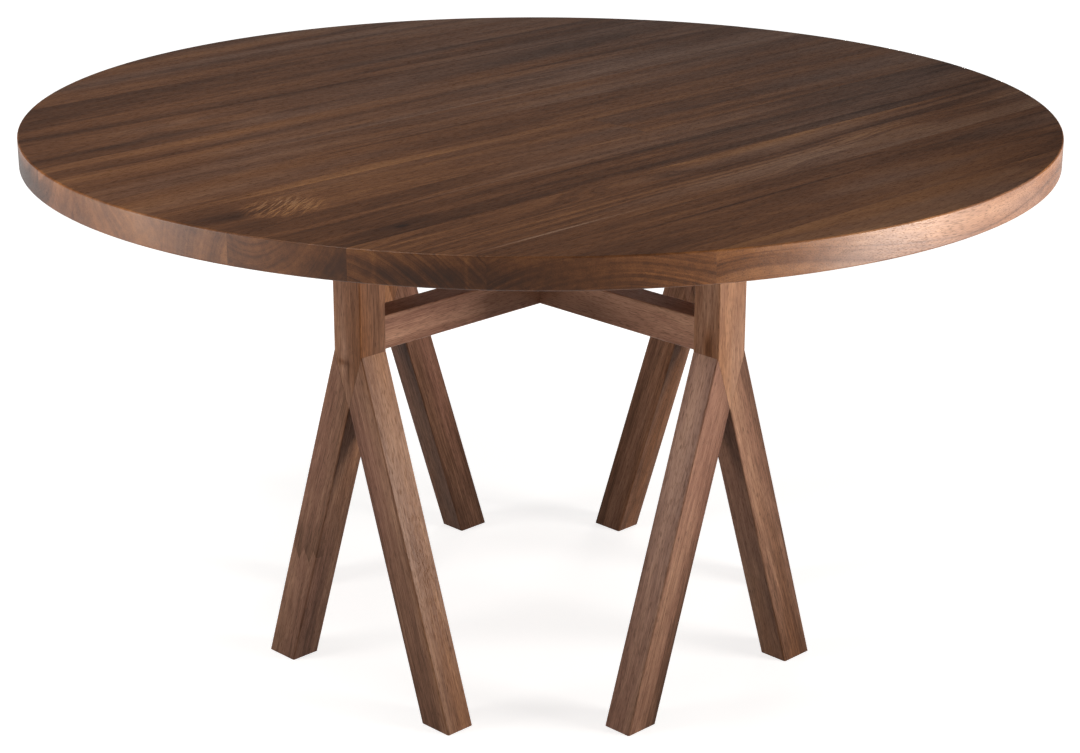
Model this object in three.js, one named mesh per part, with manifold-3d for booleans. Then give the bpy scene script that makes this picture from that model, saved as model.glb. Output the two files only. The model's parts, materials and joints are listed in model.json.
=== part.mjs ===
// Round dining table in solid walnut.
// The top is a disc of edge-glued boards. It stands on four forks, each an upright post whose
// pointed lower end is joined between two splayed legs. Two crossing beams tie the posts together.
// Millimetres, +Z up. The origin is on the floor, under the centre of the top.

import * as THREE from 'three';
import { mergeVertices } from 'three/addons/utils/BufferGeometryUtils.js';
import Module from 'manifold-3d';

const wasm = await Module();
wasm.setup();

// Overall sizes
const TABLE_HEIGHT = 750;
const TOP_DIAMETER = 1400;
const TOP_THICKNESS = 40;
const POST_OUTER_RADIUS = 354;   // from the table's axis to the outer face of each post
const GRAIN_ANGLE_DEGREES = 45;  // direction of the top's boards, seen from above

// Posts and legs
const MEMBER_DEPTH = 44;         // out from the centre, alike on posts and legs so that they finish flush
const POST_WIDTH = 54;
const LEG_THICKNESS = 49.5;
const LEG_SPLAY_DEGREES = 18.1;
const SEAM_HEIGHT = 487;         // where the side of a post turns into the upper face of a leg
const EDGE_EASE = 1.5;           // flat taken off each long corner
const JOINT_GAP = 0.3;           // glue line or clearance between any two pieces

// Cross beams, half-lapped at the centre and tenoned into the posts
const BEAM_WIDTH = 45;
const BEAM_HEIGHT = 46;
const TENON_LENGTH = 30;
const TENON_THICKNESS = 18;
const TENON_SHOULDER = 6;        // step above and below the tenon

// Dowels through each post's point into both of its legs
const DOWEL_DIAMETER = 12;
const DOWEL_COVER = 6;           // wood left between a dowel's end and the leg's upper face
const DOWEL_DEPTH_SHARES = { upper: 0.36, lower: 0.7 };

// Glue joints across the top, as shares of its radius, from the front right to the back left
const BOARD_JOINT_SHARES = [
  -0.877, -0.647, -0.459, -0.254, -0.11, 0.041, 0.147, 0.306, 0.517, 0.714, 0.874,
];

// One board is two staves end to end. They meet at this share of the radius past the centre.
const STAVED_BOARD = 5;
const STAVE_JOINT_SHARE = 0.03;

// Steel plates let into the underside of the top, one over each post
const PLATE_LENGTH = 130;
const PLATE_WIDTH = 46;
const PLATE_THICKNESS = 4;
const PLATE_CORNER_RADIUS = 5;
const PLATE_INSET = 4;           // from the post's outer face to the plate's end

// Countersunk screws from each plate down into its post
const POST_SCREW_LENGTH = 60;
const POST_SCREW_DIAMETER = 6;
const POST_SCREW_HEAD_DIAMETER = 11;
const POST_SCREW_HEAD_HEIGHT = 2.8;
const POST_SCREW_SPACING = 24;

// Flat-headed screws through each plate up into the top
const TOP_SCREW_DIAMETER = 5;
const TOP_SCREW_HEAD_DIAMETER = 10;
const TOP_SCREW_HEAD_HEIGHT = 2.6;
const TOP_SCREW_HEAD_EASE = 0.6;
const TOP_SCREW_COVER = 10;      // wood left over the screw's point
const TOP_SCREW_SPACING = 45;
const TOP_SCREW_SETBACK = 25;    // from the post's inner face to the nearer screw
const MOVEMENT_PLAY = 1;         // round each top screw, so that the wide top can swell and shrink

// Hexagon socket in every screw head
const SOCKET_DIAMETER = 4;
const SOCKET_DEPTH = 1.6;

// Facets on round pieces
const RIM_FACETS = 180;
const DOWEL_FACETS = 20;
const SCREW_FACETS = 12;
const CORNER_FACETS = 3;
const HEXAGON_SIDES = 6;

// The forks. toward names the side of the table that each leg reaches to: first the leg that is
// anticlockwise of its post, seen from above, then the clockwise one.
const FORKS = [
  { name: 'back_right', angleDegrees: 45, toward: ['back', 'right'] },
  { name: 'back_left', angleDegrees: 135, toward: ['left', 'back'] },
  { name: 'front_left', angleDegrees: 225, toward: ['front', 'left'] },
  { name: 'front_right', angleDegrees: 315, toward: ['right', 'front'] },
];

// Sizes that follow from the ones above
const splay = THREE.MathUtils.degToRad(LEG_SPLAY_DEGREES);
const undersideHeight = TABLE_HEIGHT - TOP_THICKNESS;
const wedgeDepth = (LEG_THICKNESS - POST_WIDTH / 2 * Math.cos(splay)) / Math.sin(splay);
const crotchHeight = SEAM_HEIGHT - wedgeDepth;
const mitreTilt = Math.atan2(POST_WIDTH / 2, wedgeDepth);
const postCentreRadius = POST_OUTER_RADIUS - MEMBER_DEPTH / 2;
const postInnerRadius = POST_OUTER_RADIUS - MEMBER_DEPTH;
const beamMiddle = SEAM_HEIGHT + BEAM_HEIGHT / 2;
const tenonBottom = SEAM_HEIGHT + TENON_SHOULDER;
const tenonTop = SEAM_HEIGHT + BEAM_HEIGHT - TENON_SHOULDER;
const topScrewLength = TOP_THICKNESS - TOP_SCREW_COVER;
const cutReach = TOP_DIAMETER;   // size of the blocks that cut a piece along a plane

// Finishes
const oiledWalnut = { color: 0x6f4b37, roughness: 0.45, metalness: 0 };
const plainBeech = { color: 0xc9a57b, roughness: 0.6, metalness: 0 };
const blackSteel = { color: 0x26272a, roughness: 0.45, metalness: 0.8 };
const zincPlate = { color: 0xb9bcc0, roughness: 0.35, metalness: 1 };

// Joining and cutting closed shapes

function toSolid(shape) {
  const bare = shape.clone();
  bare.deleteAttribute('normal');
  bare.deleteAttribute('uv');
  const merged = mergeVertices(bare);
  const corners = [];
  for (let i = 0; i < merged.index.count; i += 3) {
    const [a, b, c] = [0, 1, 2].map((k) => merged.index.getX(i + k));
    if (a !== b && b !== c && c !== a) corners.push(a, b, c);
  }
  const vertProperties = new Float32Array(merged.attributes.position.array);
  const triVerts = new Uint32Array(corners);
  return new wasm.Manifold(new wasm.Mesh({ numProp: 3, vertProperties, triVerts }));
}

function toShape(solid) {
  const { vertProperties, triVerts } = solid.getMesh();
  const geometry = new THREE.BufferGeometry();
  geometry.setAttribute('position', new THREE.BufferAttribute(new Float32Array(vertProperties), 3));
  geometry.setIndex(new THREE.BufferAttribute(new Uint32Array(triVerts), 1));
  const flat = geometry.toNonIndexed();
  flat.computeVertexNormals();
  return flat;
}

function cut(shape, ...cutters) {
  return toShape(cutters.reduce((left, cutter) => left.subtract(toSolid(cutter)), toSolid(shape)));
}

function join(shape, other) {
  return toShape(toSolid(shape).add(toSolid(other)));
}

function overlap(shape, other) {
  return toShape(toSolid(shape).intersect(toSolid(other)));
}

// Basic shapes

function block(low, high) {
  const size = high.map((value, axis) => value - low[axis]);
  const middle = high.map((value, axis) => (value + low[axis]) / 2);
  return new THREE.BoxGeometry(...size).translate(...middle);
}

// Upright bar between two heights, with its four long corners eased
function easedBar(sizeX, sizeY, low, high) {
  const x = sizeX / 2;
  const y = sizeY / 2;
  const corners = [
    [x, EDGE_EASE - y],
    [x, y - EDGE_EASE],
    [x - EDGE_EASE, y],
    [EDGE_EASE - x, y],
    [-x, y - EDGE_EASE],
    [-x, EDGE_EASE - y],
    [EDGE_EASE - x, -y],
    [x - EDGE_EASE, -y],
  ];
  const section = new THREE.Shape(corners.map(([px, py]) => new THREE.Vector2(px, py)));
  const bar = new THREE.ExtrudeGeometry(section, { depth: high - low, bevelEnabled: false });
  return bar.translate(0, 0, low);
}

// Shape turned about +Z, from [radius, height] points that start and end on the axis
function turned(points, facets) {
  const profile = points.map(([radius, height]) => new THREE.Vector2(radius, height));
  return new THREE.LatheGeometry(profile, facets).rotateX(Math.PI / 2);
}

function upright(radius, low, high, facets) {
  return turned([[0, low], [radius, low], [radius, high], [0, high]], facets);
}

// Posts and legs. A fork is drawn about the axis of its post, +X out from the table and +Y along
// the rim. Its two legs are alike, one of them turned half round.

// All that is on one side of the mitre between the post and the leg toward +Y. The side is 1 for
// the leg's side and -1 for the post's, and shift moves the plane toward the leg.
function mitreBlock(side, shift) {
  const geometry = new THREE.BoxGeometry(cutReach, cutReach, 2 * cutReach);
  geometry.translate(0, shift + side * cutReach / 2, 0);
  geometry.rotateX(-mitreTilt);
  return geometry.translate(0, 0, crotchHeight);
}

const dowels = Object.entries(DOWEL_DEPTH_SHARES).map(([place, share]) => {
  const drop = share * wedgeDepth;
  const reach = POST_WIDTH / 2 + drop * Math.tan(splay) - DOWEL_COVER;
  return { place, height: SEAM_HEIGHT - drop, reach };
});

function dowelRod({ height, reach }, grow) {
  const radius = DOWEL_DIAMETER / 2 + grow;
  const rod = new THREE.CylinderGeometry(radius, radius, 2 * (reach + grow), DOWEL_FACETS);
  return rod.translate(0, 0, height);
}

const dowelHoles = dowels.map((dowel) => dowelRod(dowel, JOINT_GAP));

function makeLeg() {
  const length = (SEAM_HEIGHT + LEG_THICKNESS) / Math.cos(splay);
  const bar = easedBar(MEMBER_DEPTH, LEG_THICKNESS, -length, LEG_THICKNESS);
  bar.translate(0, -LEG_THICKNESS / 2, 0);
  bar.rotateX(splay);
  bar.translate(0, POST_WIDTH / 2, SEAM_HEIGHT);
  const belowFloor = block([-cutReach, -cutReach, -cutReach], [cutReach, cutReach, 0]);
  return cut(bar, mitreBlock(-1, JOINT_GAP), belowFloor, ...dowelHoles);
}

function makePost() {
  const bar = easedBar(MEMBER_DEPTH, POST_WIDTH, crotchHeight, undersideHeight - JOINT_GAP);
  const legSide = mitreBlock(1, 0);
  const otherLegSide = legSide.clone().rotateZ(Math.PI);
  const innerFace = -MEMBER_DEPTH / 2;
  const mortiseHalf = TENON_THICKNESS / 2 + JOINT_GAP;
  const mortise = block(
    [innerFace - JOINT_GAP, -mortiseHalf, tenonBottom - JOINT_GAP],
    [innerFace + TENON_LENGTH + JOINT_GAP, mortiseHalf, tenonTop + JOINT_GAP],
  );
  return cut(bar, legSide, otherLegSide, mortise, ...dowelHoles, ...postScrewHoles());
}

// Cross beams. Each is drawn along +X, through the centre of the table.

// side is 1 where the half-lap is cut from above, and -1 where it is cut from below
function makeBeam(side) {
  const reach = postInnerRadius - JOINT_GAP;
  const bar = easedBar(BEAM_HEIGHT, BEAM_WIDTH, -reach, reach);
  bar.rotateY(Math.PI / 2);
  bar.translate(0, 0, beamMiddle);
  const tenonEnd = postInnerRadius + TENON_LENGTH;
  const tenons = block(
    [-tenonEnd, -TENON_THICKNESS / 2, tenonBottom],
    [tenonEnd, TENON_THICKNESS / 2, tenonTop],
  );
  const notchHalf = BEAM_WIDTH / 2 + JOINT_GAP;
  const notch = new THREE.BoxGeometry(2 * notchHalf, 2 * BEAM_WIDTH, BEAM_HEIGHT);
  notch.translate(0, 0, beamMiddle + side * (BEAM_HEIGHT - JOINT_GAP) / 2);
  return cut(join(bar, tenons), notch);
}

// Screws and the holes they sit in

function socket(low, high) {
  return upright(SOCKET_DIAMETER / 2, low, high, HEXAGON_SIDES);
}

const postScrewPlaces = [-POST_SCREW_SPACING / 2, POST_SCREW_SPACING / 2];
const postScrewHeight = undersideHeight + PLATE_THICKNESS;

// The top of the head is at height zero
function makePostScrew() {
  const shank = POST_SCREW_DIAMETER / 2;
  const body = turned([
    [0, -POST_SCREW_LENGTH],
    [shank, POST_SCREW_DIAMETER - POST_SCREW_LENGTH],
    [shank, -POST_SCREW_HEAD_HEIGHT],
    [POST_SCREW_HEAD_DIAMETER / 2, 0],
    [0, 0],
  ], SCREW_FACETS);
  return cut(body, socket(-SOCKET_DEPTH, SOCKET_DEPTH));
}

function postScrewHoles() {
  const shank = POST_SCREW_DIAMETER / 2 + JOINT_GAP;
  const head = POST_SCREW_HEAD_DIAMETER / 2 + JOINT_GAP;
  const hole = turned([
    [0, -POST_SCREW_LENGTH - JOINT_GAP],
    [shank, -POST_SCREW_LENGTH - JOINT_GAP],
    [shank, -POST_SCREW_HEAD_HEIGHT],
    [head, 0],
    [head, JOINT_GAP],
    [0, JOINT_GAP],
  ], SCREW_FACETS);
  return postScrewPlaces.map((across) => hole.clone().translate(0, across, postScrewHeight));
}

const firstTopScrew = -MEMBER_DEPTH / 2 - TOP_SCREW_SETBACK;
const topScrewPlaces = [firstTopScrew, firstTopScrew - TOP_SCREW_SPACING];
const topScrewHeight = undersideHeight - JOINT_GAP;

// The underside of the head is at height zero, and the point is up
function makeTopScrew() {
  const head = TOP_SCREW_HEAD_DIAMETER / 2;
  const shank = TOP_SCREW_DIAMETER / 2;
  const body = turned([
    [0, -TOP_SCREW_HEAD_HEIGHT],
    [head - TOP_SCREW_HEAD_EASE, -TOP_SCREW_HEAD_HEIGHT],
    [head, TOP_SCREW_HEAD_EASE - TOP_SCREW_HEAD_HEIGHT],
    [head, 0],
    [shank, 0],
    [shank, topScrewLength - TOP_SCREW_DIAMETER],
    [0, topScrewLength],
  ], SCREW_FACETS);
  return cut(body, socket(-TOP_SCREW_HEAD_HEIGHT - SOCKET_DEPTH, SOCKET_DEPTH - TOP_SCREW_HEAD_HEIGHT));
}

function topScrewHoles(play) {
  const low = topScrewHeight - JOINT_GAP;
  const high = topScrewHeight + topScrewLength + JOINT_GAP;
  const hole = upright(TOP_SCREW_DIAMETER / 2 + play, low, high, SCREW_FACETS);
  return topScrewPlaces.map((along) => hole.clone().translate(along, 0, 0));
}

// Mounting plates, level with the underside of the top

function plateBlank(grow) {
  const radius = PLATE_CORNER_RADIUS + grow;
  const outer = MEMBER_DEPTH / 2 - PLATE_INSET + grow - radius;
  const inner = MEMBER_DEPTH / 2 - PLATE_INSET - PLATE_LENGTH - grow + radius;
  const half = PLATE_WIDTH / 2 + grow - radius;
  const corners = [[outer, half], [inner, half], [inner, -half], [outer, -half]];
  const outline = new THREE.Shape();
  corners.forEach(([x, y], quarter) => {
    outline.absarc(x, y, radius, quarter * Math.PI / 2, (quarter + 1) * Math.PI / 2);
  });
  const settings = { depth: PLATE_THICKNESS + 2 * grow, bevelEnabled: false, curveSegments: CORNER_FACETS };
  return new THREE.ExtrudeGeometry(outline, settings).translate(0, 0, undersideHeight - grow);
}

function makePlate() {
  return cut(plateBlank(0), ...postScrewHoles(), ...topScrewHoles(MOVEMENT_PLAY));
}

// The top. Its boards are cut from one turned disc, side by side across the grain.

function makeDisc() {
  const radius = TOP_DIAMETER / 2;
  return turned([
    [0, undersideHeight],
    [radius - EDGE_EASE, undersideHeight],
    [radius, undersideHeight + EDGE_EASE],
    [radius, TABLE_HEIGHT - EDGE_EASE],
    [radius - EDGE_EASE, TABLE_HEIGHT],
    [0, TABLE_HEIGHT],
  ], RIM_FACETS);
}

function toTable(shape, angle) {
  return shape.clone().translate(postCentreRadius, 0, 0).rotateZ(angle);
}

// Block that takes a stave out of the disc, from its start to its end along the grain
function staveBlock(start, end, near, far) {
  const gap = JOINT_GAP / 2;
  const stave = block([start + gap, near + gap, 0], [end - gap, far - gap, cutReach]);
  return stave.rotateZ(THREE.MathUtils.degToRad(GRAIN_ANGLE_DEGREES));
}

function makeBoards() {
  const pockets = [plateBlank(JOINT_GAP), ...topScrewHoles(JOINT_GAP)];
  const cutters = FORKS.flatMap(({ angleDegrees }) => (
    pockets.map((pocket) => toTable(pocket, THREE.MathUtils.degToRad(angleDegrees)))
  ));
  const disc = cut(makeDisc(), ...cutters);
  const radius = TOP_DIAMETER / 2;
  const joints = BOARD_JOINT_SHARES.map((share) => share * radius);
  const edges = [-cutReach, ...joints, cutReach];
  const staveJoint = STAVE_JOINT_SHARE * radius;
  return edges.slice(1).flatMap((far, index) => {
    const name = `top_board_${index + 1}`;
    const staves = index + 1 === STAVED_BOARD
      ? [[`${name}_front`, -cutReach, staveJoint], [`${name}_back`, staveJoint, cutReach]]
      : [[name, -cutReach, cutReach]];
    return staves.map(([staveName, start, end]) => (
      piece(staveName, overlap(disc, staveBlock(start, end, edges[index], far)), oiledWalnut)
    ));
  });
}

// The whole table

function piece(name, shape, finish) {
  const mesh = new THREE.Mesh(shape, new THREE.MeshStandardMaterial(finish));
  mesh.name = name;
  return mesh;
}

const table = new THREE.Group();

table.add(...makeBoards());

function makeFork({ name, angleDegrees, toward }) {
  const angle = THREE.MathUtils.degToRad(angleDegrees);
  const fork = new THREE.Group();
  fork.rotation.z = angle;
  fork.position.set(postCentreRadius * Math.cos(angle), postCentreRadius * Math.sin(angle), 0);
  fork.add(piece(`${name}_post`, makePost(), oiledWalnut));
  toward.forEach((side, turn) => {
    const leg = piece(`${name}_leg_toward_${side}`, makeLeg(), oiledWalnut);
    leg.rotation.z = turn * Math.PI;
    fork.add(leg);
  });
  dowels.forEach((dowel) => {
    fork.add(piece(`${name}_dowel_${dowel.place}`, dowelRod(dowel, 0), plainBeech));
  });
  fork.add(piece(`${name}_plate`, makePlate(), blackSteel));
  postScrewPlaces.forEach((across, index) => {
    const screw = piece(`${name}_post_screw_${index + 1}`, makePostScrew(), zincPlate);
    screw.position.set(0, across, postScrewHeight);
    fork.add(screw);
  });
  topScrewPlaces.forEach((along, index) => {
    const screw = piece(`${name}_top_screw_${index + 1}`, makeTopScrew(), zincPlate);
    screw.position.set(along, 0, topScrewHeight);
    fork.add(screw);
  });
  return fork;
}

FORKS.forEach((fork) => table.add(makeFork(fork)));

// The beams run between opposite forks, and lap at the centre
const lowerBeam = piece('beam_front_left_to_back_right', makeBeam(1), oiledWalnut);
lowerBeam.rotation.z = THREE.MathUtils.degToRad(FORKS[0].angleDegrees);
const upperBeam = piece('beam_front_right_to_back_left', makeBeam(-1), oiledWalnut);
upperBeam.rotation.z = THREE.MathUtils.degToRad(FORKS[1].angleDegrees);
table.add(lowerBeam, upperBeam);

export default table;
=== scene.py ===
# Round dining table in solid black walnut. A thick disc of edge-glued boards stands on four forks,
# each a pointed post between two splayed legs, and two crossing beams tie the posts together.
# Metres, +Z up, the same frame as the construction.

import json
import math
import random

import bmesh
import bpy
import numpy as np
from mathutils import Matrix, Vector


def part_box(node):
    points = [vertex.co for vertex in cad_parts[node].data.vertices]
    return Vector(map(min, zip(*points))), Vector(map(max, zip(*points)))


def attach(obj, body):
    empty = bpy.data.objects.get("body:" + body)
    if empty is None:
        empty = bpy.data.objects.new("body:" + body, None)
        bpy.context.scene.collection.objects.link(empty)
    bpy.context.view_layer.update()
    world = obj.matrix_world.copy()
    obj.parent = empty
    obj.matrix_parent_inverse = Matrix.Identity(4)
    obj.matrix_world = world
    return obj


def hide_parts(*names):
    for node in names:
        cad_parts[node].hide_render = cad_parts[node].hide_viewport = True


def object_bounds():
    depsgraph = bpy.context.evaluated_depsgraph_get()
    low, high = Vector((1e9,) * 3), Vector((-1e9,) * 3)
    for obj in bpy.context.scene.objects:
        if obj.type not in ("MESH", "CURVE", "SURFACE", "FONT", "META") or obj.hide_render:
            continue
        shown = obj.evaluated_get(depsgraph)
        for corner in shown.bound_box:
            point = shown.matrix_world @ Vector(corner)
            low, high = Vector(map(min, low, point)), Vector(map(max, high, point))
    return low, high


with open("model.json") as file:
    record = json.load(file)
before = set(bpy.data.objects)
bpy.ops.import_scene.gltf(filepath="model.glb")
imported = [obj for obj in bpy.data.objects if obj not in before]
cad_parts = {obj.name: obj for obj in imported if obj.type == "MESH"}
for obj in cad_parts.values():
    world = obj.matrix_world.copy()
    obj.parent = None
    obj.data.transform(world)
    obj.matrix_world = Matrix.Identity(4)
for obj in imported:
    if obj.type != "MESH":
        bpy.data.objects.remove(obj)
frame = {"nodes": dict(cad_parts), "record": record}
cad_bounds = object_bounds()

MM = 0.001

# The camera stands on the photograph's side, -Y, and looks down at the table
CAMERA_DISTANCE = 3.2351          # from the table's axis, along the floor
CAMERA_HEIGHT = 1.4898
CAMERA_DOWN_DEGREES = 19.105
CAMERA_ROUND_DEGREES = 0.149      # round the table's axis, off -Y
CAMERA_ROLL_DEGREES = 0.109
CAMERA_LENS = 80.6                # millimetres, on a sensor 36 mm wide

# Soft boxes. Each has its place, the point that it faces, its width and height, and its power in
# watts. The right, left and low back ones stand lower than the tabletop and face up past it, so
# that the legs darken toward their feet. The low right one gives the right rim its sheen. The back
# and front ones give the far part of the top its sheen, seen from the front and from the back.
PAST_THE_TOP = (0.0, 0.0, 5.5)
TOP_MIDDLE = (0.0, 0.0, cad_bounds[1].z)
SOFT_BOXES = {
    "soft_box_right": ((2.55, -1.0, 0.6), PAST_THE_TOP, (1.0, 0.8), 205),
    "soft_box_left": ((-2.5, -0.85, 0.7), PAST_THE_TOP, (1.0, 0.8), 80),
    "soft_box_far_left": ((-4.6, -2.0, 1.2), (0.0, 0.0, 0.6), (1.6, 1.6), 42),
    "soft_box_over_left": ((-1.1, -0.9, 3.0), (-0.3, -0.3, 0.75), (1.2, 1.2), 37),
    "soft_box_low_right": ((2.35, -0.15, 0.25), (0.5, -0.5, 0.7), (0.8, 0.6), 3),
    "soft_box_low_back": ((0.9, 2.5, 0.45), PAST_THE_TOP, (1.0, 0.5), 70),
    "soft_box_back": ((-0.5, 6.0, 1.6), TOP_MIDDLE, (4.0, 0.5), 3),
    "soft_box_front": ((0.5, -6.0, 1.6), TOP_MIDDLE, (4.0, 0.5), 3),
}
LAMP_WHITE = "#fffdfa"
ROOM_LIGHT = 0.1                  # strength of the even light from all round
FLOOR_RADIUS = 20.0
FLOOR_SIDES = 96
PAPER_WHITE = "#d4d3d1"
PAPER_GLOW_SHARE = 0.77           # of the paper's white that doesn't darken in the shadow
SHADOW_FADE = (0.8, 3.0)          # from the table's axis: where the shadow starts to fade, and ends

# Wood
GRAIN_DEGREES = 45.0              # direction of the top's boards, seen from above
LOG_LENGTH = 6.0                  # a piece comes from any height of a log this long
SEED = 17

# Where the heart of the trunk lies from the middle of each board: across it, toward the back left,
# and above its middle, in millimetres. Then the board's tone and warmth, from -1 to 1, how much
# bolder its streaks are than on a plain board, and how much warmer it gets for each metre toward
# the back right. Below 0, that is partly the board's own tone and partly a painted sheen, greyer
# toward the back right of the top.
BOARD_CUTS = {
    "top_board_1": ((10, -85), 0.2, 0.55, 0.6, 0.6),
    "top_board_2": ((-15, -130), -0.01, 0.75, 0.8, -0.7),
    "top_board_3": ((95, -110), 0.24, 0.62, 1.8, -0.8),
    "top_board_4": ((48, 62), -0.14, 0.65, 0.7, -0.8),
    "top_board_5_front": ((-100, -22), 0.1, 0.75, 0.0, -0.4),
    "top_board_5_back": ((-110, 34), 0.18, 0.7, 0.0, -0.7),
    "top_board_6": ((120, -90), 0.12, 0.85, 0.0, -0.25),
    "top_board_7": ((-95, 62), 0.05, 0.75, 0.0, -0.25),
    "top_board_8": ((70, 55), 0.06, 0.65, 0.0, -0.4),
    "top_board_9": ((5, 58), -0.09, 0.55, 0.0, -0.4),
    "top_board_10": ((140, -55), -0.1, 0.85, 0.0, -0.4),
    "top_board_11": ((-90, 80), 0.08, 0.65, 0.0, -0.4),
    "top_board_12": ((60, -66), 0.0, 0.65, 0.0, -0.25),
}

# Posts, legs and beams: where the heart lies from the middle of the section, across the piece and
# out from it, in millimetres, then tone and warmth, and how much lighter the piece is painted on
# its left side, seen from outside, as painted light on the side that catches more light.
MEMBER_CUTS = {
    "back_right_post": ((-64, 141), 0.2, 0.0, 0.0),
    "back_right_leg_toward_back": ((140, 58), -0.15, 0.0, 0.0),
    "back_right_leg_toward_right": ((-154, -60), -0.15, 0.1, 0.0),
    "back_left_post": ((-65, -77), -0.2, 0.35, 0.0),
    "back_left_leg_toward_left": ((84, -2), 0.1, 0.1, 0.0),
    "back_left_leg_toward_back": ((107, 12), -0.2, 0.05, 0.0),
    "front_left_post": ((70, 90), -0.02, 0.1, 0.25),
    "front_left_leg_toward_front": ((-155, -58), 0.0, 0.1, -0.25),
    "front_left_leg_toward_left": ((20, -87), -0.02, 0.05, 0.18),
    "front_right_post": ((-30, -150), 0.4, 0.1, -0.1),
    "front_right_leg_toward_right": ((108, -69), -0.12, 0.15, 0.35),
    "front_right_leg_toward_front": ((-67, 95), -0.12, -0.2, 0.75),
    "beam_front_left_to_back_right": ((-28, 72), 0.4, -0.6, 0.0),
    "beam_front_right_to_back_left": ((-127, -54), 0.62, -0.3, 0.0),
}

# Knots, swirls, cathedral tips, smoky patches and single bright or dark lines in the top, and
# painted light and shade on the rim. Each is where it lies along and across the boards from the
# centre and above the floor, its length, width and depth, how far it swells the growth rings,
# all in millimetres, and how much lighter or darker the wood is there.
TOP = cad_bounds[1].z / MM        # height of the tabletop
RIM = TOP - 28                    # and of the lower half of its rim
DEEP = 100                        # more than the boards, so that the figure shows on the rim too
TOP_FIGURES_AND_PAINTED_LIGHT = {
    "knot": ((-518, -298, TOP), (9, 4, DEEP), 0, -0.35),
    "round_the_knot": ((-520, -290, TOP), (60, 14, DEEP), 9, -0.12),
    "swirl": ((-560, -262, TOP), (90, 26, DEEP), -8, 0.0),
    "chevron": ((-440, 285, TOP), (60, 24, DEEP), 16, 0.05),
    "hump": ((-180, -335, TOP), (120, 22, DEEP), 14, 0.04),
    "cathedral": ((-200, -420, TOP), (150, 22, DEEP), 8, 0.0),
    "oval_left": ((100, -425, TOP), (120, 20, DEEP), 17, 0.04),
    "oval_right": ((280, -395, TOP), (110, 22, DEEP), 17, 0.03),
    "dip": ((-50, -505, TOP), (130, 26, DEEP), -9, -0.05),
    "smoke_by_the_curl": ((-640, -140, TOP), (70, 50, DEEP), 4, -0.22),
    "pale_blotch": ((-300, 240, TOP), (70, 24, DEEP), 0, 0.14),
    "pale_front_left": ((-400, -60, TOP), (210, 90, DEEP), 0, 0.08),
    "smoke_right": ((330, -170, TOP), (200, 90, DEEP), 0, -0.05),
    "dark_right": ((430, -385, TOP), (120, 60, DEEP), 0, -0.12),
    "dark_far_right": ((540, 10, TOP), (170, 90, DEEP), 0, -0.08),
    # The rim: painted shade on its front and on its right beside the sheen, a painted sheen on its
    # left and right sides, and a darker left end
    "painted_shade_rim_front": ((-575, -395, RIM), (140, 120, 22), 0, -0.45),
    "painted_shade_rim_middle": ((-390, -585, RIM), (110, 60, 22), 0, -0.12),
    "painted_sheen_rim_left": ((-690, -90, RIM), (60, 130, 26), 0, 0.08),
    "dark_rim_left": ((-620, 310, RIM), (140, 175, 22), 0, -0.55),
    "painted_sheen_rim_right": ((-180, -676, RIM), (100, 40, 26), 0, 0.1),
    "painted_shade_rim_right": ((310, -635, RIM), (150, 60, 26), 0, -0.22),
    "pale_line_1": ((-415, -436, TOP), (130, 2.2, DEEP), 0, 0.4),
    "pale_line_2": ((-310, -225, TOP), (190, 1.8, DEEP), 0, 0.22),
    "pale_line_3": ((40, 106, TOP), (330, 2.2, DEEP), 0, 0.22),
    "pale_line_4": ((-540, -349, TOP), (70, 2.5, DEEP), 0, 0.3),
    "dark_line_1": ((60, 335, TOP), (260, 2.5, DEEP), 0, -0.25),
    "dark_line_2": ((-120, -500, TOP), (200, 2.2, DEEP), 0, -0.3),
    "dark_line_3": ((-230, 24, TOP), (150, 2.2, DEEP), 0, -0.25),
    "dark_line_4": ((210, 418, TOP), (220, 2.4, DEEP), 0, -0.2),
    "dark_line_5": ((330, -300, TOP), (220, 2.2, DEEP), 0, -0.25),
}

# The same for the frame: an arch and a hook on the front left post's outer face, a smudge on the
# front right post, painted shade at the feet, and painted light on the upper forks and the beams
POST_FACE = -354                  # where the front left post's outer face lies, along the boards
FRAME_FIGURES_AND_PAINTED_LIGHT = {
    "post_arch": ((POST_FACE, 6, 520), (60, 13, 60), 16, 0.0),
    "post_pale_tip": ((POST_FACE, 7, 494), (60, 5, 20), 0, 0.16),
    "post_hook": ((POST_FACE, 9, 473), (60, 13, 4), 0, -0.2),
    "post_hook_bend": ((POST_FACE, -2, 462), (60, 4, 14), 0, -0.14),
    "post_pale_hollow": ((POST_FACE, 9, 462), (60, 8, 7), 0, 0.1),
    "post_smudge": ((-27, -336, 499), (8, 8, 22), 6, -0.3),
    # Painted shade near the floor, and painted light under the top, where the forks and beams lie
    # in shade
    "painted_shade_at_feet": ((0, 0, 0), (900, 900, 110), 0, -0.05),
    "painted_light_fork_left": ((-340, -40, 340), (90, 70, 110), 0, 0.16),
    "painted_light_fork_right": ((-15, -340, 340), (80, 90, 110), 0, 0.1),
    "painted_light_beams": ((0, 0, 510), (180, 180, 60), 0, 0.32),
}


def linear(code):
    """Linear RGBA from an sRGB hex colour."""
    values = [int(code[i:i + 2], 16) / 255 for i in (1, 3, 5)]
    return (*[v / 12.92 if v <= 0.04045 else ((v + 0.055) / 1.055) ** 2.4 for v in values], 1.0)


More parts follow.
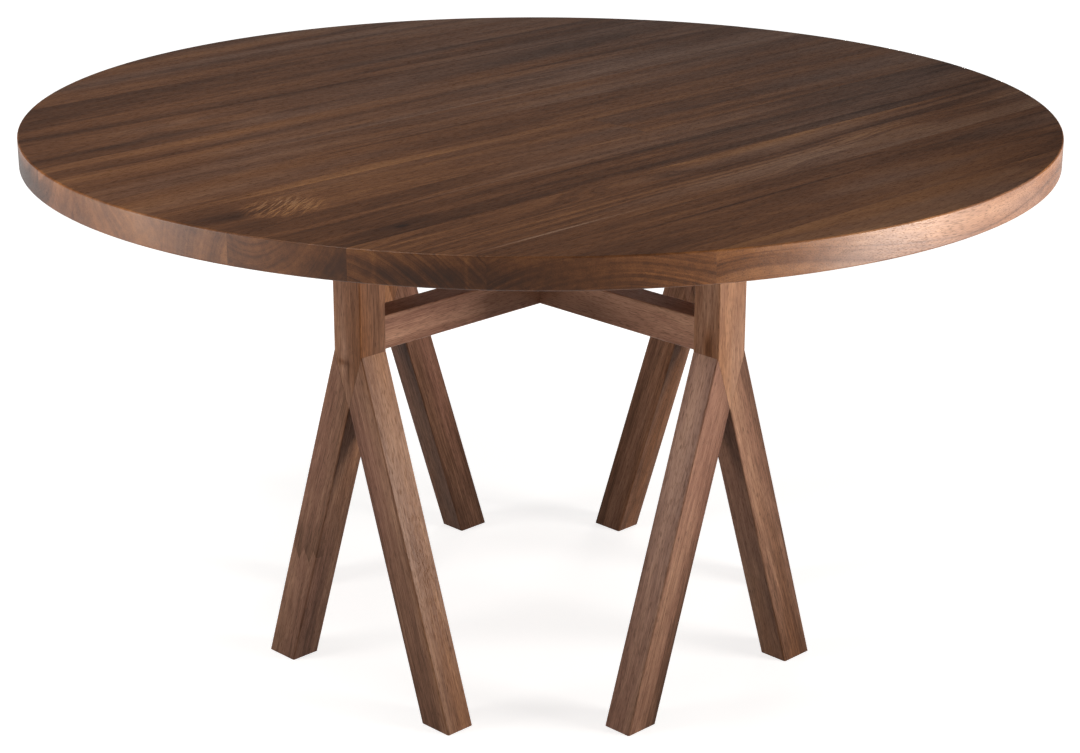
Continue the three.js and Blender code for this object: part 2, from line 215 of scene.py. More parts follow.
def add(tree, kind, inputs=None, stops=None, **settings):
    """Adds a shader node. inputs are values, or nodes and sockets to link from, by name or number:
    a MapRange brings input 0 from the range 1 to 2 into the range 3 to 4, and a colour Mix puts
    share 0 of colour 7 into colour 6 and gives output 2. stops are a colour ramp's places and hex
    colours."""
    node = tree.nodes.new("ShaderNode" + kind)
    for name, value in settings.items():
        setattr(node, name, value)
    if stops:
        ramp = node.color_ramp.elements
        ramp.remove(ramp[1])
        ramp[0].position, ramp[0].color = stops[0][0], linear(stops[0][1])
        for place, code in stops[1:]:
            ramp.new(place).color = linear(code)
    for name, value in (inputs or {}).items():
        if isinstance(value, bpy.types.Node):
            value = value.outputs[0]
        if isinstance(value, bpy.types.NodeSocket):
            tree.links.new(value, node.inputs[name])
        else:
            node.inputs[name].default_value = value
    return node


def new_material(name):
    material = bpy.data.materials.new(name)
    material.use_nodes = True
    material.node_tree.nodes.clear()
    return material, material.node_tree


# Stage


def make_camera():
    data = bpy.data.cameras.new("camera")
    data.lens = CAMERA_LENS
    camera = bpy.data.objects.new("camera", data)
    bpy.context.scene.collection.objects.link(camera)
    around = Matrix.Rotation(math.radians(CAMERA_ROUND_DEGREES), 4, "Z")
    place = Matrix.Translation((0.0, -CAMERA_DISTANCE, CAMERA_HEIGHT))
    down = Matrix.Rotation(math.radians(90 - CAMERA_DOWN_DEGREES), 4, "X")
    roll = Matrix.Rotation(math.radians(CAMERA_ROLL_DEGREES), 4, "Z")
    camera.matrix_world = around @ place @ down @ roll
    bpy.context.scene.camera = camera


def make_soft_box(name, place, target, size, power):
    data = bpy.data.lights.new(name, "AREA")
    data.shape = "RECTANGLE"
    data.size, data.size_y = size
    data.energy = power
    data.color = linear(LAMP_WHITE)[:3]
    lamp = bpy.data.objects.new(name, data)
    bpy.context.scene.collection.objects.link(lamp)
    lamp.location = place
    lamp.rotation_euler = (Vector(target) - Vector(place)).to_track_quat("-Z", "Y").to_euler()
    lamp.visible_camera = False


def make_room():
    """Even, dim light from all round."""
    world = bpy.data.worlds.new("room")
    world.use_nodes = True
    tree = world.node_tree
    tree.nodes.clear()
    light = add(tree, "Background", {"Color": linear("#ffffff"), "Strength": ROOM_LIGHT})
    add(tree, "OutputWorld", {"Surface": light})
    bpy.context.scene.world = world


def white_paper():
    """Seamless white paper. It is dimmer to the table than to the eye, and it keeps the table's
    shadow near the feet."""
    material, tree = new_material("white_paper")
    path = add(tree, "LightPath")
    seen = add(tree, "Math", {0: path.outputs["Is Camera Ray"], 1: path.outputs["Is Glossy Ray"]},
               operation="MAXIMUM")
    seen = add(tree, "Math", {0: seen, 1: path.outputs["Is Transmission Ray"]},
               operation="MAXIMUM")
    place = add(tree, "NewGeometry").outputs["Position"]
    far = add(tree, "VectorMath", {0: place}, operation="LENGTH").outputs["Value"]
    glow = add(tree, "MapRange", {0: far, 1: SHADOW_FADE[0], 2: SHADOW_FADE[1],
                                  3: PAPER_GLOW_SHARE, 4: 1.0})
    glow = add(tree, "Math", {0: glow, 1: seen}, operation="MULTIPLY")
    light = add(tree, "Emission", {"Color": linear("#ffffff"), "Strength": glow})
    paper = add(tree, "BsdfDiffuse", {"Color": linear(PAPER_WHITE)})
    surface = add(tree, "AddShader", {0: paper, 1: light})
    add(tree, "OutputMaterial", {"Surface": surface})
    return material


def make_floor():
    shape = bmesh.new()
    bmesh.ops.create_circle(shape, cap_ends=True, segments=FLOOR_SIDES, radius=FLOOR_RADIUS)
    mesh = bpy.data.meshes.new("paper_floor")
    shape.to_mesh(mesh)
    shape.free()
    mesh.materials.append(white_paper())
    floor = bpy.data.objects.new("paper_floor", mesh)
    bpy.context.scene.collection.objects.link(floor)


# Walnut

# Patterns drawn out along the wood: how long and how wide a blotch of each is, and how much finer
# detail it has. Fibres and pores are drawn coarser than real ones so that they show. Real pores
# are about 0.2 mm wide.
PATTERNS = {
    "wander": (909 * MM, 200 * MM, 1.0),
    "ripple": (222.2 * MM, 41.67 * MM, 2.0),
    "smoke": (625 * MM, 71.4 * MM, 2.0),
    "clouds": (312.5 * MM, 62.5 * MM, 2.0),
    "shimmer": (55 * MM, 7 * MM, 2.0),
    "fibres": (45 * MM, 1.3 * MM, 2.0),
    "pores": (10 * MM, 0.7 * MM, 0.0),
}
WANDER = 34 * MM                  # how far the trunk's rings stray from round
RIPPLE = 5 * MM
TAPER = 0.012                     # how much a ring's radius changes for each metre of trunk
CLOUD_SHIFT = (7.0, 3.0, 5.0)     # sets the clouds apart from the smoke
SHIMMER_DEGREES = 9               # off the grain

# Growth rings
BAND_LENGTH = 1111 * MM           # broad dark and light bands
BAND_WIDTH = 30 * MM
STREAK_LENGTH = 625 * MM
RING_WIDTH = 4.2 * MM             # one year's growth
STREAKS_RISE = (0.35, 0.65)       # where in the clouds the streaks grow from faint to full
FAINT_STREAKS_SHARE = 0.35
LINE_STEP = 2.1 * RING_WIDTH      # a dark line stands out about every second year
LINE_SHARPNESS = 7.0              # the higher, the thinner the line
SPELL_WIDTH = 5 * RING_WIDTH      # lean and fat years come in spells of about five
SPELL_LINES = 5.0                 # how many lines a spell crowds together or leaves out

# How much lighter and darker each pattern makes the wood. 0 is the darkest walnut and 1 the palest.
MIDDLE_TONE = 0.49
BAND_CONTRAST = 0.7
CLOUD_CONTRAST = 0.22
STREAK_CONTRAST = 0.4
SHIMMER_CONTRAST = 0.3
TOP_FIBRE_CONTRAST = 0.22         # the top is sanded finer, so its fibres stand out less
FRAME_FIBRE_CONTRAST = 0.5
LINE_TONE = -0.09
BOARD_TONE = 0.35
END_CONTRAST_SHARE = 0.9          # how much of the contrast is left on end grain
WALNUT_TONES = [(0.0, "#2b1a10"), (0.18, "#432b1d"), (0.34, "#5b3e2d"), (0.5, "#765441"),
                (0.68, "#8f6b54"), (0.95, "#b38d70")]

# How warm the wood is, from smoky to golden. Pale figures are less warm than dark ones; this also
# cools the painted sheen and painted light, as a highlight would, and warms the painted shade.
BOARD_WARMTH = 0.4
FIGURE_WARMTH = -0.8
MARK_WARMTH = -0.35
WALNUT_CASTS = [(0.3, "#f0e8f0"), (0.5, "#ffffff"), (0.8, "#ffe1ac")]

# Surface
END_GRAIN_BROWN = "#4b342a"
END_GRAIN_SHARE = 0.2             # end grain drinks more oil, and is so much darker
PORE_BROWN = "#2e1d15"
PORE_SHARE = 0.42
PORES_OPEN = (0.57, 0.7)          # where in their noise the pores start, and are fully open
ROUGHNESS = (0.42, 0.34)          # of dark wood and of pale
PORE_ROUGHNESS = 0.2
RELIEF = 0.12 * MM
RELIEF_STRENGTH = 0.35
OIL_IOR = 1.5
TOP_GLOSS = 0.25                  # the top has more coats of oil than the frame
FRAME_GLOSS = 0.08

# Curly patch beside the knot, where the fibres stand up and catch the light. It is bright feathers
# that lie aslant the grain.
CURL_PLACE = (-562, -138, 0)
CURL_SIZE = (68, 50, math.inf)
CURL_FADE = (1.0, 0.1)            # where it starts and is full, as squared shares of its size
FEATHER_LENGTH = 28 * MM
FEATHER_WIDTH = 2.3 * MM
FEATHER_DEGREES = 30              # off the grain
FEATHERS_OPEN = (0.46, 0.62)      # where in their noise the feathers start, and are brightest
FEATHER_TONE = 0.42

# Pointed tips on the front left fork's outer leg, from the point of one of them
TIPS_PLACE = (POST_FACE, 114, 160)
TIPS_SIZE = (12, 60, 60)
TIPS_FADE = (1.6, 0.4)            # where they start and are full, as shares of this size
TIP_STEP = 21 * MM
TIP_SLOPE = -2.0                  # of a tip's sides, which makes each as high as it is wide
TIP_EDGE = 2 * MM
TIP_TONE = -0.2
BETWEEN_TIPS_TONE = 0.05


def from_centre(tree, flat, centre, size):
    """How far a point lies from the centre of a figure, and the same as shares of its size."""
    offset = add(tree, "VectorMath", {0: flat, 1: [v * MM for v in centre]}, operation="SUBTRACT")
    shares = add(tree, "VectorMath", {0: offset, 1: [1 / (v * MM) for v in size]},
                 operation="MULTIPLY")
    return offset, shares


def figured_rings(tree, flat, radius, figures):
    """The distance to the heart, changed near each figure, and how much lighter the wood is there,
    painted light and shade included."""
    shade = 0.0
    for centre, size, swell, lighter in figures.values():
        _, shares = from_centre(tree, flat, centre, size)
        square = add(tree, "VectorMath", {0: shares, 1: shares}, operation="DOT_PRODUCT")
        fall = add(tree, "Math", {0: square.outputs["Value"], 1: -1.0}, operation="MULTIPLY")
        bell = add(tree, "Math", {0: fall}, operation="EXPONENT")
        radius = add(tree, "Math", {0: bell, 1: swell * MM, 2: radius}, operation="MULTIPLY_ADD")
        shade = add(tree, "Math", {0: bell, 1: lighter, 2: shade}, operation="MULTIPLY_ADD")
    return radius, shade


def curly_patch(tree, flat):
    """Lighter tone in a patch of short bright feathers that lie aslant the grain."""
    offset, shares = from_centre(tree, flat, CURL_PLACE, CURL_SIZE)
    square = add(tree, "VectorMath", {0: shares, 1: shares}, operation="DOT_PRODUCT")
    inside = add(tree, "MapRange", {0: square.outputs["Value"], 1: CURL_FADE[0],
                                    2: CURL_FADE[1]}, interpolation_type="SMOOTHSTEP")
    aslant = add(tree, "VectorRotate", {"Vector": offset, "Angle": math.radians(-FEATHER_DEGREES)},
                 rotation_type="Z_AXIS")
    aslant = add(tree, "Mapping", {"Vector": aslant,
                                   "Scale": (1 / FEATHER_LENGTH, 1 / FEATHER_WIDTH, 1.0)})
    feathers = add(tree, "TexNoise", {"Vector": aslant, "Scale": 1.0, "Detail": 1.0})
    bright = add(tree, "MapRange", {0: feathers, 1: FEATHERS_OPEN[0], 2: FEATHERS_OPEN[1]})
    bright = add(tree, "Math", {0: bright, 1: FEATHER_TONE}, operation="MULTIPLY")
    return add(tree, "Math", {0: inside, 1: bright}, operation="MULTIPLY")


def toothed_tips(tree, flat):
    """Darker tone over a row of pointed tips, where a growth layer runs out on a leg's face."""
    offset, shares = from_centre(tree, flat, TIPS_PLACE, TIPS_SIZE)
    parts = add(tree, "SeparateXYZ", {0: offset})
    teeth = add(tree, "Math", {0: parts.outputs["Y"], 1: TIP_STEP / 2}, operation="PINGPONG")
    over = add(tree, "Math", {0: teeth, 1: TIP_SLOPE, 2: parts.outputs["Z"]},
               operation="MULTIPLY_ADD")
    over = add(tree, "MapRange", {0: over, 1: 0.0, 2: TIP_EDGE})
    dark = add(tree, "Math", {0: over, 1: TIP_TONE, 2: BETWEEN_TIPS_TONE},
               operation="MULTIPLY_ADD")
    far = add(tree, "VectorMath", {0: shares}, operation="LENGTH").outputs["Value"]
    near = add(tree, "MapRange", {0: far, 1: TIPS_FADE[0], 2: TIPS_FADE[1]},
               interpolation_type="SMOOTHSTEP")
    return add(tree, "Math", {0: dark, 1: near}, operation="MULTIPLY")


def drawn_out(tree, places, name, **shift):
    """One of the patterns along the wood."""
    length, width, detail = PATTERNS[name]
    places = add(tree, "Mapping", {"Vector": places, **shift,
                                   "Scale": (1 / length, 1 / width, 1 / width)})
    return add(tree, "TexNoise", {"Vector": places, "Scale": 1.0, "Detail": detail})


def strayed_places(tree, grain):
    """Places in a log whose rings wander, and ripple at a finer step."""
    strayed = grain
    for name, reach in (("wander", WANDER), ("ripple", RIPPLE)):
        drift = drawn_out(tree, grain, name).outputs["Color"]
        drift = add(tree, "VectorMath", {0: drift, 1: (0.5, 0.5, 0.5)}, operation="SUBTRACT")
        strayed = add(tree, "VectorMath", {0: drift, 1: (0.0, reach, reach), 2: strayed},
                      operation="MULTIPLY_ADD")
    return strayed


def ring_radius(tree, strayed, along):
    """The distance to the heart, on a trunk that tapers."""
    spread = add(tree, "VectorMath", {0: strayed, 1: (0.0, 1.0, 1.0)}, operation="MULTIPLY")
    heart = add(tree, "VectorMath", {0: spread}, operation="LENGTH").outputs["Value"]
    return add(tree, "Math", {0: along, 1: TAPER, 2: heart}, operation="MULTIPLY_ADD")


def round_the_heart(tree, radius, along, length, width, **fineness):
    """Bands that follow the rings, and fade in and out along the trunk."""
    places = add(tree, "CombineXYZ", {
        0: add(tree, "Math", {0: radius, 1: 1 / width}, operation="MULTIPLY"),
        1: add(tree, "Math", {0: along, 1: 1 / length}, operation="MULTIPLY"),
    })
    return add(tree, "TexNoise", {"Vector": places, "Scale": 1.0, **fineness})


def late_lines(tree, radius):
    """Thin dark lines where a year's growth ends, closer in some spells of years than in others."""
    spells = add(tree, "TexNoise", {"W": radius, "Scale": 1 / SPELL_WIDTH, "Detail": 1.0},
                 noise_dimensions="1D")
    lines = add(tree, "Math", {0: radius, 1: 1 / LINE_STEP}, operation="MULTIPLY")
    lines = add(tree, "Math", {0: spells, 1: SPELL_LINES, 2: lines}, operation="MULTIPLY_ADD")
    lines = add(tree, "Math", {0: lines}, operation="FRACT")
    return add(tree, "Math", {0: lines, 1: LINE_SHARPNESS}, operation="POWER")


def end_grain(tree):
    """1 where the fibres stand on end, and 0 where they lie in the surface."""
    fibre = add(tree, "Attribute", attribute_name="fibre").outputs["Vector"]
    normal = add(tree, "NewGeometry").outputs["Normal"]
    facing = add(tree, "VectorMath", {0: normal, 1: fibre}, operation="DOT_PRODUCT")
    facing = facing.outputs["Value"]
    return add(tree, "Math", {0: facing, 1: facing}, operation="MULTIPLY")


def streak_strength(tree, clouds, calm, bold):
    """Streaks come and go in clouds, and are bolder on some boards."""
    strong = add(tree, "MapRange", {0: clouds, 1: STREAKS_RISE[0], 2: STREAKS_RISE[1],
                                    3: FAINT_STREAKS_SHARE, 4: 1.0})
    strong = add(tree, "Math", {0: strong, 1: calm}, operation="MULTIPLY")
    return add(tree, "Math", {0: strong, 1: bold, 2: strong}, operation="MULTIPLY_ADD")


def walnut_colour(tree, tone, warmth, ends, pores):
    """Brown by its tone, cast by its warmth, and darker on end grain and in the pores."""
    brown = add(tree, "ValToRGB", {0: tone}, stops=WALNUT_TONES)
    cast = add(tree, "ValToRGB", {0: warmth}, stops=WALNUT_CASTS)
    colour = add(tree, "Mix", {0: 1.0, 6: brown, 7: cast}, data_type="RGBA", blend_type="MULTIPLY")
    oiled = add(tree, "MapRange", {0: ends, 1: 0.3, 2: 1.0, 3: 0.0, 4: END_GRAIN_SHARE})
    holes = add(tree, "Math", {0: pores, 1: PORE_SHARE}, operation="MULTIPLY")
    for share, code in ((oiled, END_GRAIN_BROWN), (holes, PORE_BROWN)):
        colour = add(tree, "Mix", {0: share, 6: colour.outputs[2], 7: linear(code)},
                     data_type="RGBA")
    return colour.outputs[2]


def oiled_walnut(name, figures, marks, gloss, fibre_contrast):
    """Black walnut, planed, sanded to 240 grit and wiped with oil: chocolate brown with darker
    lines where each year's growth ends, broad smoky bands, short dark open pores that run with
    the fibres and show as dots on end grain, and a low satin sheen."""
    material, tree = new_material(name)
    grain = add(tree, "Attribute", attribute_name="grain").outputs["Vector"]
    tint = add(tree, "Attribute", attribute_name="tint").outputs["Vector"]
    tint = add(tree, "SeparateXYZ", {0: tint})
    ends = end_grain(tree)
    flat = add(tree, "NewGeometry").outputs["Position"]
    flat = add(tree, "VectorRotate", {"Vector": flat, "Angle": -math.radians(GRAIN_DEGREES)},
               rotation_type="Z_AXIS")
    mark = marks(tree, flat)

    strayed = strayed_places(tree, grain)
    along = add(tree, "SeparateXYZ", {0: strayed}).outputs["X"]
    radius, shade = figured_rings(tree, flat, ring_radius(tree, strayed, along), figures)
    bands = round_the_heart(tree, radius, along, BAND_LENGTH, BAND_WIDTH, Detail=1.5)
    streaks = round_the_heart(tree, radius, along, STREAK_LENGTH, RING_WIDTH, Detail=2.5,
                              Roughness=0.55)
    lines = late_lines(tree, radius)

    # Shimmer is short strokes a little aslant the fibres, where they dip in and out of the surface
    turn = (0.0, 0.0, math.radians(SHIMMER_DEGREES))
    shimmer = drawn_out(tree, strayed, "shimmer", Rotation=turn)
    fibres = drawn_out(tree, strayed, "fibres")
    pores = add(tree, "MapRange", {0: drawn_out(tree, strayed, "pores"), 1: PORES_OPEN[0],
                                   2: PORES_OPEN[1]}, interpolation_type="SMOOTHSTEP")
    clouds = drawn_out(tree, grain, "clouds", Location=CLOUD_SHIFT)
    calm = add(tree, "MapRange", {0: ends, 1: 0.1, 2: 0.9, 3: 1.0, 4: END_CONTRAST_SHARE})
    strong = streak_strength(tree, clouds, calm, tint.outputs["Z"])

    # All of it as one tone, from dark to light. Patterns run from 0 to 1 and swing it both ways.
    swings = ((bands, calm, BAND_CONTRAST), (clouds, 1.0, CLOUD_CONTRAST),
              (streaks, strong, STREAK_CONTRAST), (shimmer, 1.0, SHIMMER_CONTRAST),
              (fibres, 1.0, fibre_contrast))
    tone = MIDDLE_TONE
    for pattern, strength, contrast in swings:
        swing = add(tree, "Math", {0: pattern, 1: -0.5})
        swing = add(tree, "Math", {0: swing, 1: strength}, operation="MULTIPLY")
        tone = add(tree, "Math", {0: swing, 1: contrast, 2: tone}, operation="MULTIPLY_ADD")
    lines = add(tree, "Math", {0: lines, 1: strong}, operation="MULTIPLY")
    # The tint's tone carries the painted side light of the posts, legs and beams
    shifts = ((lines, LINE_TONE), (tint.outputs["X"], BOARD_TONE), (shade, 1.0), (mark, 1.0))
    for value, weight in shifts:
        tone = add(tree, "Math", {0: value, 1: weight, 2: tone}, operation="MULTIPLY_ADD")

    warmth = drawn_out(tree, grain, "smoke")
    shifts = ((tint.outputs["Y"], BOARD_WARMTH), (shade, FIGURE_WARMTH), (mark, MARK_WARMTH))
    for value, weight in shifts:
        warmth = add(tree, "Math", {0: value, 1: weight, 2: warmth}, operation="MULTIPLY_ADD")

    roughness = add(tree, "MapRange", {0: tone, 1: 0.1, 2: 0.9, 3: ROUGHNESS[0], 4: ROUGHNESS[1]})
    roughness = add(tree, "Math", {0: pores, 1: PORE_ROUGHNESS, 2: roughness},
                    operation="MULTIPLY_ADD")
    relief = add(tree, "Math", {0: pores, 1: -1.0, 2: fibres}, operation="MULTIPLY_ADD")
    bump = add(tree, "Bump", {"Height": relief, "Strength": RELIEF_STRENGTH, "Distance": RELIEF})
    surface = add(tree, "BsdfPrincipled", {
        "Base Color": walnut_colour(tree, tone, warmth, ends, pores),
        "Roughness": roughness,
        "Normal": bump,
        "IOR": OIL_IOR,
        "Specular IOR Level": gloss,
    })
    add(tree, "OutputMaterial", {"Surface": surface})
    return material


# Wooden pieces, each made on its own solid

EDGE_ROUND = 0.72 * MM            # set back on each side of an eased corner's two edges
FOOT_ROUND = 0.6 * MM
ROUND_STEPS = 2
EASED_FACE_WIDTH = 3.0 * MM       # a face narrower than this is an eased corner
EASED_FACE_TURN = (8, 60)         # degrees that an eased corner turns at each of its long sides
CORNER_TURN = (43, 47)            # and that it turns at a side that gets rounded
GLUE_LINE = 0.14 * MM             # how far a board is let out to meet the next one
GLUED_HEIGHT = 30 * MM            # a board's glued sides are taller than this, and longer than
GLUED_LENGTH = 60 * MM            # this, as no facet of the rim or wall of a pocket is
RIM_FROM = 690 * MM               # from the table's axis
SAME_PLACE = 0.01 * MM            # corners closer than this are one
FLAT_DEGREES = 0.4                # facets that turn less than this are one flat face
SMOOTH_DEGREES = 25               # edges that turn less than this are shaded as round
AT_FLOOR = 0.1 * MM
ON_AXIS = 1 * MM                  # only a beam has its middle this close to the table's axis
NEXT_TO_ZERO = 1e-5


def turns(edge, least, most):
    """Whether an edge's two faces turn by an angle between these, in degrees."""
    return least < math.degrees(edge.calc_face_angle(0)) < most


def is_eased(face):
    """A narrow face whose long sides turn a corner. A sliver of the round rim is flush with its
    neighbour instead."""
    sides = sorted(face.edges, key=lambda edge: edge.calc_length())[-2:]
    narrow = face.calc_area() / sides[-1].calc_length() < EASED_FACE_WIDTH
    return narrow and all(turns(side, *EASED_FACE_TURN) for side in sides)


def eased_corner_edges(shape):
    """The long edges of the narrow faces that ease each corner."""
    return [edge for edge in shape.edges
            if turns(edge, *CORNER_TURN) and sum(map(is_eased, edge.link_faces)) == 1]


def foot_edges(shape):
    return [edge for edge in shape.edges
            if all(v.co.z < AT_FLOOR for v in edge.verts) and not edge.is_boundary]


def round_over(shape, edges, set_back):
    bmesh.ops.bevel(shape, geom=edges, offset=set_back, offset_type="OFFSET",
                    segments=ROUND_STEPS, profile=0.5, affect="EDGES", clamp_overlap=True)


def grain_directions():
    """Along the top's boards, and across them toward the back left."""
    turn = math.radians(GRAIN_DEGREES)
    return (Vector((math.cos(turn), math.sin(turn), 0.0)),
            Vector((-math.sin(turn), math.cos(turn), 0.0)))


def is_glued(face):
    heights = [vertex.co.z for vertex in face.verts]
    square_on = max(abs(face.normal.dot(way)) for way in grain_directions()) > 1 - NEXT_TO_ZERO
    return (square_on and max(heights) - min(heights) > GLUED_HEIGHT
            and max(edge.calc_length() for edge in face.edges) > GLUED_LENGTH)


def fill_glue_lines(shape):
    """Lets a board's glued sides out until they all but meet the next board's, as glue fills a real
    joint and no light comes through it. A point on the rim moves along the rim."""
    along, across = grain_directions()
    moves = {}
    for face in filter(is_glued, shape.faces):
        for vertex in face.verts:
            moves[vertex] = moves.get(vertex, Vector()) + face.normal * GLUE_LINE
    for vertex, move in moves.items():
        reach = vertex.co.xy.length
        vertex.co += move
        if reach > RIM_FROM:
            aside = vertex.co.dot(across)
            forward = math.copysign(math.sqrt(reach ** 2 - aside ** 2), vertex.co.dot(along))
            vertex.co = forward * along + aside * across + Vector((0, 0, vertex.co.z))


def rounded_copy(node):
    """The node's solid as a new mesh with flat faces in one piece and its eased corners round."""
    shape = bmesh.new()
    shape.from_mesh(frame["nodes"][node].data)
    bmesh.ops.remove_doubles(shape, verts=shape.verts, dist=SAME_PLACE)
    bmesh.ops.dissolve_limit(shape, angle_limit=math.radians(FLAT_DEGREES), verts=shape.verts,
                             edges=shape.edges)
    if node in BOARD_CUTS:
        shape.normal_update()
        fill_glue_lines(shape)
    round_over(shape, eased_corner_edges(shape), EDGE_ROUND)
    feet = foot_edges(shape)
    if feet:
        round_over(shape, feet, FOOT_ROUND)
    mesh = bpy.data.meshes.new(node + "_wood")
    shape.normal_update()
    for face in shape.faces:
        face.smooth = True
    for edge in shape.edges:
        edge.smooth = edge.calc_face_angle(math.pi) < math.radians(SMOOTH_DEGREES)
    shape.to_mesh(mesh)
    shape.free()
    return mesh


def vertex_places(mesh):
    places = np.zeros(len(mesh.vertices) * 3)
    mesh.vertices.foreach_get("co", places)
    return places.reshape(-1, 3)


def note_on_points(mesh, name, vectors):
    """Keeps a vector for each point of the mesh, for the wood's material to read."""
    attribute = mesh.attributes.new(name, "FLOAT_VECTOR", "POINT")
    attribute.data.foreach_set("vector", vectors.astype(np.float32).ravel())


def cut_from_log(mesh, axes, heart, height, tone, warmth, side=0.0, bold=0.0, warming=0.0):
    """Says where in the log each point of the piece was. axes are along the piece, across it and
    out of it, heart is the trunk's heart from the middle of the piece, in millimetres, and height
    is how far up the log that middle was. side is how much lighter the piece is painted on the side
    that the second axis points to, a painted light, bold how much bolder its streaks are, and
    warming how much warmer it gets for each metre along."""
    places = vertex_places(mesh) @ np.array([list(axis) for axis in axes]).T
    middle = (places.min(0) + places.max(0)) / 2
    # Painted light: the tone rises across the piece toward the side that the second axis points to
    shares = (places[:, 1] - middle[1]) / np.ptp(places[:, 1]) * 2
    centre = middle + np.array([-height, heart[0] * MM, heart[1] * MM])
    note_on_points(mesh, "grain", places - centre)
    count = len(mesh.vertices)
    note_on_points(mesh, "tint", np.column_stack([
        tone + side * shares, warmth + warming * places[:, 0], np.full(count, bold)]))
    note_on_points(mesh, "fibre", np.tile(np.array(axes[0]), (count, 1)))


def make_wood(node, mesh, material):
    mesh.materials.append(material)
    piece = bpy.data.objects.new(node + "_wood", mesh)
    bpy.context.scene.collection.objects.link(piece)
    shading = piece.modifiers.new("even_shading", "WEIGHTED_NORMAL")
    shading.keep_sharp = True
    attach(piece, "root")
    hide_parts(node)


def make_board(node, material, lots):
    mesh = rounded_copy(node)
    along, across = grain_directions()
    heart, tone, warmth, bold, warming = BOARD_CUTS[node]
    height = lots.uniform(0, LOG_LENGTH)
    cut_from_log(mesh, (along, across, Vector((0, 0, 1))), heart, height, tone, warmth, bold=bold,
                 warming=warming)
    make_wood(node, mesh, material)


def longest_direction(mesh):
    """The way that a straight piece runs, which is that of its longest edge."""
    def span(edge):
        a, b = (mesh.vertices[i].co for i in edge.vertices)
        return b - a
    way = max((span(edge) for edge in mesh.edges), key=lambda s: s.length).normalized()
    return way if way.z > 0 or abs(way.z) < NEXT_TO_ZERO else -way


def outward(node):
    """From the table's axis out through the fork that the node belongs to, or up for a beam."""
    low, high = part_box(node)
    middle = (low + high) / 2
    if middle.xy.length < ON_AXIS:
        return Vector((0, 0, 1))
    return Vector((math.copysign(1, middle.x), math.copysign(1, middle.y), 0)).normalized()


def make_member(node, material, lots):
    mesh = rounded_copy(node)
    along = longest_direction(mesh)
    out = outward(node)
    across = out.cross(along).normalized()
    heart, tone, warmth, side = MEMBER_CUTS[node]
    height = lots.uniform(0, LOG_LENGTH)
    cut_from_log(mesh, (along, across, out), heart, height, tone, warmth, side=side)
    make_wood(node, mesh, material)


# Hidden fittings

FLECK_LENGTH = 3.85 * MM          # of beech's rays
FLECK_WIDTH = 1.11 * MM
PEBBLE = 1.4 * MM                 # of powder coat
ZINC_CLOUD = 3.0 * MM
BEECH_TONES = [(0.35, "#b08860"), (0.5, "#c9a57b"), (0.7, "#d6b690")]
POWDER_TONES = [(0.3, "#1c1d1f"), (0.7, "#2a2b2e")]
ZINC_TONES = [(0.35, "#aeb3ba"), (0.6, "#c9ccd0"), (0.8, "#d2cdbf")]


def plain_beech():
    """Beech dowel rod, turned and left bare: pale pinkish tan with short darker flecks."""
    material, tree = new_material("plain_beech")
    place = add(tree, "NewGeometry").outputs["Position"]
    place = add(tree, "Mapping", {"Vector": place, "Scale": (1 / FLECK_LENGTH, 1 / FLECK_LENGTH,
                                                             1 / FLECK_WIDTH)})
    flecks = add(tree, "TexNoise", {"Vector": place, "Scale": 1.0, "Detail": 2.0})
    colour = add(tree, "ValToRGB", {0: flecks}, stops=BEECH_TONES)
    bump = add(tree, "Bump", {"Height": flecks, "Strength": 0.3, "Distance": 0.05 * MM})
    surface = add(tree, "BsdfPrincipled", {"Base Color": colour, "Roughness": 0.65,
                                           "Normal": bump})
    add(tree, "OutputMaterial", {"Surface": surface})
    return material


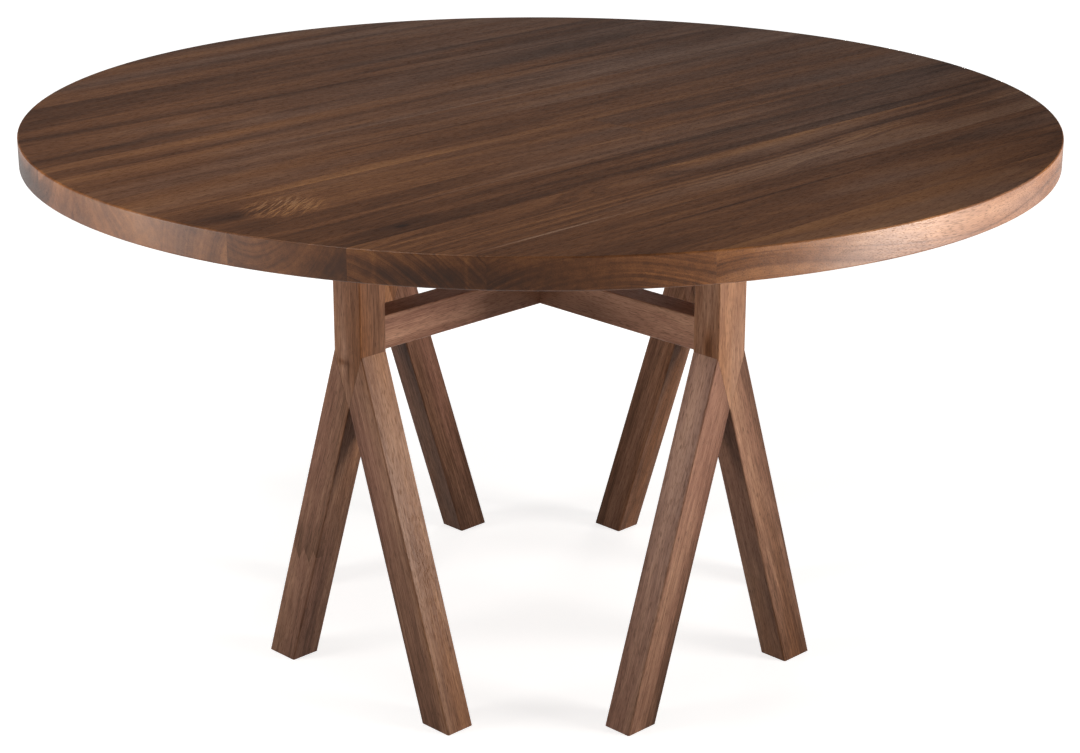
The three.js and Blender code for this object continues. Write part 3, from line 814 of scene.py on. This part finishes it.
def black_powder_coat():
    """Flat steel bar, powder coated black: a slightly pebbled satin skin."""
    material, tree = new_material("black_powder_coat")
    place = add(tree, "NewGeometry").outputs["Position"]
    pebbles = add(tree, "TexNoise", {"Vector": place, "Scale": 1 / PEBBLE, "Detail": 2.0})
    colour = add(tree, "ValToRGB", {0: pebbles}, stops=POWDER_TONES)
    rough = add(tree, "MapRange", {0: pebbles, 1: 0.3, 2: 0.7, 3: 0.42, 4: 0.58})
    bump = add(tree, "Bump", {"Height": pebbles, "Strength": 0.4, "Distance": 0.06 * MM})
    surface = add(tree, "BsdfPrincipled", {"Base Color": colour, "Roughness": rough,
                                           "Normal": bump})
    add(tree, "OutputMaterial", {"Surface": surface})
    return material


def bright_zinc():
    """Turned steel screw, bright zinc plated: cool grey with faint cloudy passivation."""
    material, tree = new_material("bright_zinc")
    place = add(tree, "NewGeometry").outputs["Position"]
    clouds = add(tree, "TexNoise", {"Vector": place, "Scale": 1 / ZINC_CLOUD, "Detail": 3.0})
    colour = add(tree, "ValToRGB", {0: clouds}, stops=ZINC_TONES)
    rough = add(tree, "MapRange", {0: clouds, 1: 0.3, 2: 0.7, 3: 0.26, 4: 0.42})
    surface = add(tree, "BsdfPrincipled", {"Base Color": colour, "Roughness": rough,
                                           "Metallic": 1.0})
    add(tree, "OutputMaterial", {"Surface": surface})
    return material


def finish_fittings():
    finishes = {
        "beech": plain_beech(),
        "black_steel": black_powder_coat(),
        "zinc_steel": bright_zinc(),
    }
    for part in frame["record"]["subparts"]:
        if part["material_slot"] in finishes:
            mesh = frame["nodes"][part["node"]].data
            mesh.materials.clear()
            mesh.materials.append(finishes[part["material_slot"]])


def make_table():
    lots = random.Random(SEED)
    top_wood = oiled_walnut("oiled_walnut_top", TOP_FIGURES_AND_PAINTED_LIGHT, curly_patch, TOP_GLOSS,
                            TOP_FIBRE_CONTRAST)
    frame_wood = oiled_walnut("oiled_walnut_frame", FRAME_FIGURES_AND_PAINTED_LIGHT, toothed_tips, FRAME_GLOSS,
                              FRAME_FIBRE_CONTRAST)
    wooden = [p["node"] for p in frame["record"]["subparts"] if p["material_slot"] == "walnut"]
    for node in wooden:
        if node in BOARD_CUTS:
            make_board(node, top_wood, lots)
        else:
            make_member(node, frame_wood, lots)
    finish_fittings()


make_camera()
make_room()
for box_name, settings in SOFT_BOXES.items():
    make_soft_box(box_name, *settings)
make_floor()
make_table()
bpy.context.scene.view_settings.view_transform = "Standard"
